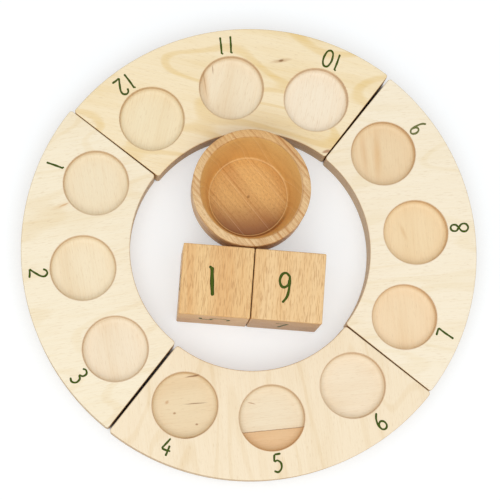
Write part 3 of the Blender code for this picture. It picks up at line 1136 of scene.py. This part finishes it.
@dataclass(frozen=True)
class Cup:
    """The turned beech cup: straight sides over a broad round, and a tapered bore with a flat floor."""

    centre: tuple[float, float]
    finish: Beech
    height: float = 0.042
    radius: float = 0.0388
    rim_wall: float = 0.0053
    rim_round: float = 0.0009
    foot_round: float = 0.019
    floor_thickness: float = 0.0085
    bore_taper: float = 0.0065
    floor_cove: float = 0.0012
    line_width: float = 0.0005
    line_depth: float = 0.00012
    line_set_in: float = 0.0004
    foot_steps: int = 26
    rim_steps: int = 6
    cove_steps: int = 7
    wall_steps: int = 8
    golden_from: float = 0.0008
    golden_dip: float = 0.0022
    pip_radius: float = 0.0007
    steps: int = 160

    def profile(self) -> tuple[Array, Array]:
        """Return the section from the foot's middle, up, over the rim and down to the floor's middle.

        Returns:
            The (radius, height) pairs, and the lathe line's value at each: 1 for a painted highlight on the
            groove's lip, -0.5 for painted shade in the groove and -1 for the dark pip.
        """
        foot = (self.radius - self.foot_round, self.foot_round)
        rim_outer = (self.radius - self.rim_round, self.height - self.rim_round)
        mouth = self.radius - self.rim_wall
        lean = math.atan2(self.bore_taper, self.height - self.floor_thickness)
        rim_inner = (mouth + self.rim_round, self.height - self.rim_round)
        cove_run = self.floor_cove * math.tan(math.pi / 4 - lean / 2)
        cove = (mouth - self.bore_taper - cove_run, self.floor_thickness + self.floor_cove)
        base = [[0.0, 0.0], [foot[0] * 0.5, 0.0], [foot[0] - 0.0003, 0.0]]
        side = arc(foot, self.foot_round, -math.pi / 2, 0.0, self.foot_steps)
        brim = arc(rim_outer, self.rim_round, 0.0, math.pi / 2, self.rim_steps)
        outside = np.concatenate([base, side, brim])
        rim = arc(rim_inner, self.rim_round, math.pi / 2, math.pi - lean, self.rim_steps)
        corner = arc(cove, self.floor_cove, -lean, -math.pi / 2, self.cove_steps)
        down = np.linspace(0.0, 1.0, self.wall_steps + 1)[1:-1, None]
        wall = rim[-1] + down * (corner[0] - rim[-1])
        groove = cove[0] - self.line_set_in
        shape = np.array([0.5, 0.32, 0.15, 0.0, -0.15, -0.32, -0.5])
        dip = np.array([0.0, -0.25, -0.8, -1.0, -0.8, -0.25, 0.0])
        line = np.stack([groove + shape * self.line_width, self.floor_thickness + dip * self.line_depth], axis=-1)
        pip = self.pip_radius
        reach = [groove * 0.75, groove * 0.4, pip * 1.6, pip, pip * 0.5, 0.0]
        sunk = np.array([0.0, 0.0, 0.0, 0.00004, 0.0003, 0.00045])
        floor = np.stack([reach, self.floor_thickness - sunk], axis=-1)
        section = np.concatenate([outside, rim, wall, corner, line, floor])
        value = np.zeros(len(section))
        corner_at = len(outside) + len(rim) + len(wall)
        line_at = corner_at + len(corner)
        # The groove's lip carries a painted highlight, and the groove itself painted shade.
        value[line_at - 2 : line_at + 1] = 1.0
        value[line_at + 2 : line_at + len(line) - 1] = -0.5
        value[-3:] = -1.0
        return section, value

    def golden_depth(self, section: Array) -> Array:
        """Return how far each point of the bore lies below the edge of its oiled, golden part, in millimetres.

        The edge runs round at rim height - g - d max(0, cos(a - a0))^2, so it dips at one side. The
        outside and the rim get a value far above the edge.

        Args:
            section: the (radius, height) pairs of the whole section.

        Returns:
            A grid of depths, one row for each pair.
        """
        angle = np.linspace(0.0, math.tau, self.steps, endpoint=False)
        dip = self.golden_dip * np.clip(np.cos(angle + 0.35), 0.0, 1.0) ** 2
        edge = self.height - self.golden_from - dip
        depth = (edge[None, :] - section[:, 1:]) / MM
        crest = int(np.argmax(section[:, 1] >= self.height - 1e-9))
        outside = np.arange(len(section)) <= crest
        return np.where(outside[:, None], -20.0, depth)

    def build(self) -> bpy.types.Object:
        """Turn the cup and put it on its body."""
        section, value = self.profile()
        shell = Shell()
        grid = spin(section, self.steps) + np.array([*self.centre, 0.0])
        shell.add(grid, True, lathe_line=value[:, None], golden_depth=self.golden_depth(section))
        piece = shell.build("cup_turned", self.finish.material())
        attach(piece, "cup")
        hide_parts("cup")
        return piece


class Face(Enum):
    """The six faces of a cube, each with its outward, reading and upward directions."""

    TOP = ((0, 0, 1), (1, 0, 0), (0, 1, 0))
    BOTTOM = ((0, 0, -1), (1, 0, 0), (0, -1, 0))
    FRONT = ((0, -1, 0), (1, 0, 0), (0, 0, 1))
    BACK = ((0, 1, 0), (-1, 0, 0), (0, 0, 1))
    RIGHT = ((1, 0, 0), (0, 1, 0), (0, 0, 1))
    LEFT = ((-1, 0, 0), (0, -1, 0), (0, 0, 1))


@dataclass(frozen=True)
class PaintedFigure:
    """One figure on a cube: its digit, turn and place off the face's middle."""

    digit: str
    turn: float = 0.0
    across: float = 0.0
    upward: float = 0.0
    stroke: float = 0.0018


@dataclass(frozen=True)
class NumberCube:
    """A beech cube with a day's figure painted on each face."""

    name: str
    node: str
    centre: tuple[float, float]
    turn: float
    finish: Beech
    figures: dict[Face, PaintedFigure]
    side: float = 0.046
    arris_round: float = 0.0009
    figure_height: float = 0.0190
    paint_film: float = 0.00005
    arris_steps: int = 6

    @property
    def half(self) -> float:
        """Half of the planed cube's side: the paint stands on it, up to the full side."""
        return self.side / 2 - self.paint_film

    def place(self, points: Array) -> Array:
        """Take points from round the cube's own middle to where it stands."""
        return turn_about_z(points, math.radians(self.turn)) + np.array([*self.centre, self.side / 2])

    def block(self) -> list[Array]:
        """Return the cube's six faces as grids, run round its arrises.

        A point p of the plain cube goes to q + r (p - q) / |p - q|, where q is p held inside a core
        that is smaller all round by the arris round r.
        """
        half, core = self.half, self.half - self.arris_round
        corner = self.arris_round * np.tan(np.linspace(0.0, math.pi / 4, self.arris_steps + 1))
        flat = core * np.array([-1.0, -0.985, -0.5, 0.0, 0.5, 0.985, 1.0])
        line = np.concatenate([-core - corner[:0:-1], flat, core + corner[1:]])
        first, second = np.meshgrid(line, line, indexing="ij")
        grids = []
        for axis in range(3):
            for sign in (-1.0, 1.0):
                plain = np.stack([np.full_like(first, sign * half), first, second], axis=-1)
                plain = np.roll(plain, axis, axis=-1)
                held = np.clip(plain, -core, core)
                out = plain - held
                grids.append(held + self.arris_round * out / np.linalg.norm(out, axis=-1, keepdims=True))
        return grids

    def build(self) -> bpy.types.Object:
        """Make the wooden block and put it on its body."""
        shell = Shell()
        for grid in self.block():
            shell.add(self.place(grid), False)
        piece = shell.build(self.name + "_block", self.finish.material())
        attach(piece, self.node)
        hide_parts(self.node)
        return piece

    def paint(self) -> bpy.types.Object:
        """Paint the figures of all six faces."""
        shell = Shell()
        for face, figure in self.figures.items():
            out, right, up = (turn_about_z(np.array(way, float), math.radians(self.turn)) for way in face.value)
            middle = np.array([*self.centre, self.side / 2]) + out * self.half
            plane = FacePlane(middle, right, up).moved(figure.across * MM, figure.upward * MM)
            brush = Brush(figure.stroke, proud=self.paint_film)
            brush.paint(shell, figure.digit, plane.turned(figure.turn), self.figure_height)
        piece = shell.build(self.name + "_figures", GreenPaint("green_paint_" + self.name).material())
        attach(piece, self.node)
        return piece


@dataclass(frozen=True)
class Studio:
    """A white table under a soft white tent, one broad lamp high at the front, and the camera."""

    table_half: float = 3.0
    table_drop: float = 0.00002
    table_tone: float = 0.66
    table_tints: tuple[Point, Point] = ((0.92, 0.965, 1.0), (0.925, 0.965, 0.995))
    table_lift: float = 0.42
    mottle_size: Point = (0.060, 0.060, 0.060)
    slot_dark: str = "#17100C"
    sky: float = 0.64
    camera_place: Point = (-0.08433, -0.18966, 1.23350)
    camera_turn: Point = (0.155, -0.069, 0.0)
    camera_lens: float = 134.82
    sensor: float = 36.0
    lamp_place: Point = (-0.10, -0.62, 1.70)
    lamp_side: float = 2.0
    lamp_watts: float = 17.0
    gap_reach: float = 0.006
    slot_reach: float = 0.016

    def seen_directly(self, wire: Wiring) -> Socket:
        """Return 1 for rays that show a surface itself: straight, mirrored or through glass."""
        path = wire.node("LightPath")
        seen = wire.sum("MAXIMUM", path.outputs["Is Camera Ray"], path.outputs["Is Glossy Ray"])
        return wire.sum("MAXIMUM", seen, path.outputs["Is Transmission Ray"])

    def build_table(self) -> bpy.types.Object:
        """Lay the white table that the pieces stand on."""
        line = np.linspace(-self.table_half, self.table_half, 25)
        x, y = np.meshgrid(line, line, indexing="ij")
        grid = np.stack([x, y, np.full_like(x, -self.table_drop)], axis=-1)
        material, wire, surface = new_material("white_table_paint")
        mottle = wire.grain(wire.node("TexCoord").outputs["Object"], self.mottle_size, 2.0)
        whites = [(*(self.table_tone * part for part in tint), 1.0) for tint in self.table_tints]
        colour = wire.blend(mottle, *whites)
        # The lift fades close to the pieces, a painted contact shade, and the colour darkens in the deep slots
        # between them, a painted shade
        openness = wire.node("AmbientOcclusion", {"Distance": self.gap_reach}, samples=16).outputs["AO"]
        slot = wire.node("AmbientOcclusion", {"Distance": self.slot_reach}, samples=16).outputs["AO"]
        colour = wire.blend(wire.ramp(slot, 0.05, 0.17, 1.0, 0.0), colour, self.slot_dark)
        wire.tree.links.new(colour, surface.inputs["Base Color"])
        surface.inputs["Roughness"].default_value = 0.9
        surface.inputs["Specular IOR Level"].default_value = 0.1
        surface.inputs["Emission Color"].default_value = (1.0, 1.0, 1.0, 1.0)
        lift = wire.ramp(openness, 0.24, 0.47, 0.0, self.table_lift)
        lift = wire.times(self.seen_directly(wire), lift)
        wire.tree.links.new(lift, surface.inputs["Emission Strength"])
        mesh = bpy.data.meshes.new("table")
        mesh.from_pydata(grid.reshape(-1, 3).tolist(), [], grid_quads(*x.shape, closed=False).tolist())
        mesh.materials.append(material)
        table = bpy.data.objects.new("table", mesh)
        bpy.context.scene.collection.objects.link(table)
        return table

    def build_light(self) -> None:
        """Light the scene with a soft white sky and one broad lamp."""
        world = bpy.data.worlds.new("white_tent")
        bpy.context.scene.world = world
        world.use_nodes = True
        wire = Wiring(world.node_tree)
        backdrop = world.node_tree.nodes["Background"]
        backdrop.inputs["Color"].default_value = (1.0, 1.0, 1.0, 1.0)
        strength = wire.node("Mix", {0: self.seen_directly(wire), 2: self.sky, 3: 1.0}).outputs[0]
        wire.tree.links.new(strength, backdrop.inputs["Strength"])
        lamp = bpy.data.lights.new("front_lamp", "AREA")
        lamp.size = self.lamp_side
        lamp.energy = self.lamp_watts
        lamp.color = (1.0, 0.995, 0.985)
        stand = bpy.data.objects.new("front_lamp", lamp)
        stand.location = self.lamp_place
        stand.rotation_euler = (-Vector(self.lamp_place)).to_track_quat("-Z", "Y").to_euler()
        bpy.context.scene.collection.objects.link(stand)

    def build_camera(self) -> None:
        """Set the camera above the ring, a little left of it and nearer the user."""
        camera = bpy.data.cameras.new("camera")
        camera.lens = self.camera_lens
        camera.sensor_width = self.sensor
        camera.clip_start = 0.01
        camera.clip_end = 50.0
        stand = bpy.data.objects.new("camera", camera)
        stand.location = self.camera_place
        stand.rotation_euler = self.camera_turn
        bpy.context.scene.collection.objects.link(stand)
        bpy.context.scene.camera = stand
        bpy.context.scene.view_settings.view_transform = "Standard"


# This calendar's own pieces

COURT_TURN = -4.0
LAID_SLIP = 0.0020  # the most that a loosely laid quarter strays


def on_court(across: float, along: float) -> tuple[float, float]:
    """Turn a place on the ring's inner court to the model's own axes."""
    x, y, _ = turn_about_z(np.array([across, along, 0.0]), math.radians(COURT_TURN))
    return (float(x), float(y))


def quarters() -> tuple[Quarter, ...]:
    """Describe the four quarters, counter-clockwise from the left one."""
    left = BirchPlywood(
        "birch_plywood_left",
        face="#F7EBD0",
        figure_colour="#EAD3A6",
        grain_turn=10.0,
        figure=0.38,
        well_tints=("#F3E4C4", "#F5E6C6", "#F5E6CB"),
        flaws=(
            Flaw(-122.4, 29.3, 7.5, 1.1, 25.0, "#C98F55", 0.75, 0.7),
            Flaw(-124.6, 28.3, 12.0, 3.4, 22.0, "#E3C290", 0.5, 0.9),
        ),
        seed=0.3,
    )
    front = BirchPlywood(
        "birch_plywood_front",
        face="#F5E4C6",
        figure_colour="#E4C99C",
        grain_turn=97.0,
        figure=0.35,
        well_tints=("#EDD8B2", "#F1E1C3", "#F5E5C9"),
        flaws=(
            Flaw(-37.0, -82.2, 11.0, 1.0, 8.0, "#8E5F33", 0.85, 0.6, True),
            Flaw(-35.5, -99.9, 15.0, 0.7, 5.0, "#8E6238", 0.8, 0.6, True),
            Flaw(-54.0, -99.3, 3.2, 2.2, 40.0, "#C08A52", 0.6, 0.8, True),
            Flaw(-49.0, -106.4, 2.0, 1.6, 0.0, "#A06C3A", 0.7, 0.6, True),
            Flaw(-34.6, -113.5, 1.8, 1.4, 0.0, "#96602E", 0.75, 0.6, True),
            Flaw(1.2, -99.6, 5.4, 0.8, -14.0, "#A87444", 0.7, 0.6, True),
        ),
        joint=VeneerJoint(15.9, -116.9, 5.9, "#F5DCC1"),
        seed=7.1,
    )
    right = BirchPlywood(
        "birch_plywood_right",
        face="#F8ECD3",
        figure_colour="#ECD8AE",
        grain_turn=4.0,
        figure=0.30,
        well_tints=("#F4DCB6", "#F4DCB2", "#EED6AE"),
        flaws=(
            Flaw(85.6, 66.0, 36.0, 5.6, 92.0, "#DDB27A", 0.60, 0.95, True),
            Flaw(76.8, 67.5, 28.0, 4.2, 96.0, "#DDB582", 0.50, 0.95, True),
            Flaw(102.6, 14.5, 12.0, 2.8, 113.0, "#D8AE74", 0.45, 0.95, True),
        ),
        seed=13.4,
    )
    back = BirchPlywood(
        "birch_plywood_back",
        face="#F7E6C2",
        figure_colour="#E9CB8B",
        grain_turn=-12.0,
        figure=0.55,
        well_tints=("#F9ECD4", "#F7E9CC", "#F5E6C2"),
        flaws=(
            Flaw(20.6, 129.1, 3.6, 1.7, 12.0, "#3E2A1C", 0.95, 0.5),
            Flaw(20.6, 129.0, 13.0, 2.6, 10.0, "#B98A55", 0.6, 0.9),
            Flaw(51.0, 67.6, 6.5, 2.4, 14.0, "#A8744E", 0.8, 0.5),
            Flaw(-30.2, 115.0, 19.0, 0.9, 99.0, "#8F6138", 0.6, 0.8, True),
            Flaw(-30.6, 113.0, 34.0, 6.0, 99.0, "#DDB782", 0.5, 0.9, True),
            Flaw(-24.8, 123.5, 6.0, 0.8, 95.0, "#8A5C34", 0.65, 0.7, True),
        ),
        seed=21.8,
        whorl=0.5,
        # These darker cut tones paint shade on the back quarter's inner wall.
        cut_tone="#E0CDB2",
        cut_end_tone="#D0B894",
    )
    laid = (
        ("jan_mar", "left", (1, 2, 3), (187.0, 0.25, 0.05 * LAID_SLIP, -0.68 * LAID_SLIP), left),
        ("apr_jun", "front", (4, 5, 6), (277.0, -0.05, 0.12 * LAID_SLIP, 0.25 * LAID_SLIP), front),
        ("jul_sep", "right", (7, 8, 9), (7.0, -0.30, 0.15 * LAID_SLIP, 0.30 * LAID_SLIP), right),
        ("oct_dec", "back", (10, 11, 12), (97.0, 0.63, 0.10 * LAID_SLIP, -0.93 * LAID_SLIP), back),
    )
    return tuple(
        Quarter(f"quarter_{span}_board", f"quarter_{span}", f"{side}_quarter", months, *lie, wood)
        for span, side, months, lie, wood in laid
    )


def cup() -> Cup:
    """Describe the cup."""
    centre = on_court(-0.0035, 0.0379)
    wood = Beech(
        "turned_beech",
        early="#ECCB98",
        late="#BF874A",
        fleck="#A8753F",
        end="#F6E6D2",
        centre=(*centre, 0.0),
        grain_turn=40.0,
        pith=(-0.115, 0.010),
        ring_gap=0.0027,
        ring_strength=0.90,
        fleck_strength=0.40,
        fleck_length=0.0022,
        fleck_width=0.00034,
        cut=Cut.TURNED,
        seed=2.7,
    )
    return Cup(centre, wood)


def cubes() -> tuple[NumberCube, NumberCube]:
    """Describe the two number cubes, the tens at the left and the units at the right."""
    side, gap, sideways, setback = 0.046, 0.0006, 0.0014, 0.0023
    tens_centre = on_court(sideways - (side + gap) / 2, -setback - side / 2)
    units_centre = on_court(sideways + (side + gap) / 2, -setback - side / 2)
    tens_wood = Beech(
        "cube_beech_tens",
        early="#EEC98F",
        late="#DA9F5B",
        fleck="#B07A42",
        end="#F8F4F2",
        centre=(*tens_centre, side / 2),
        grain_turn=COURT_TURN,
        pith=(0.020, -0.070),
        ring_gap=0.0042,
        ring_strength=0.75,
        fleck_strength=0.62,
        seed=5.2,
    )
    units_wood = Beech(
        "cube_beech_units",
        early="#F0CD98",
        late="#E4B678",
        fleck="#B5824A",
        end="#D7C8BB",
        centre=(*units_centre, side / 2),
        grain_turn=COURT_TURN,
        pith=(-0.030, 0.090),
        ring_gap=0.0036,
        ring_strength=0.40,
        fleck_strength=0.62,
        seed=9.6,
    )
    tens_figures = {
        Face.TOP: PaintedFigure("1", 4.6, -2.8, -0.6, 0.0025),
        Face.FRONT: PaintedFigure("5", 90.0, 1.0, 5.0),
        Face.BACK: PaintedFigure("2", 3.0, 1.0, 0.0),
        Face.LEFT: PaintedFigure("0", -4.0, 0.0, 1.0),
        Face.RIGHT: PaintedFigure("3", 92.0, 0.0, 0.0),
        Face.BOTTOM: PaintedFigure("4", 2.0, -1.0, 0.0),
    }
    units_figures = {
        Face.TOP: PaintedFigure("9", 4.0, -2.7, -1.0, 0.0017),
        Face.FRONT: PaintedFigure("7", 0.0, -2.0, -0.5),
        Face.BACK: PaintedFigure("8", -3.0, 0.0, 0.0),
        Face.LEFT: PaintedFigure("0", 90.0, 0.0, 0.0),
        Face.RIGHT: PaintedFigure("1", 5.0, 0.0, 1.0),
        Face.BOTTOM: PaintedFigure("2", 0.0, 0.0, 1.0),
    }
    tens = NumberCube("tens_cube", "tens_cube", tens_centre, COURT_TURN, tens_wood, tens_figures)
    units = NumberCube("units_cube", "units_cube", units_centre, COURT_TURN, units_wood, units_figures)
    return (tens, units)


def main() -> None:
    """Build the calendar, the table, the light and the camera, in order."""
    logging.basicConfig(level=logging.INFO, format="%(name)s: %(message)s")
    for quarter in quarters():
        log.info("laid %s", quarter.build().name)
        for which in range(len(quarter.months)):
            log.info("painted %s", quarter.paint_month(which).name)
    log.info("turned %s", cup().build().name)
    for cube in cubes():
        log.info("planed %s", cube.build().name)
        log.info("painted %s", cube.paint().name)
    studio = Studio()
    log.info("laid %s", studio.build_table().name)
    studio.build_light()
    studio.build_camera()


if __name__ == "__main__":
    main()
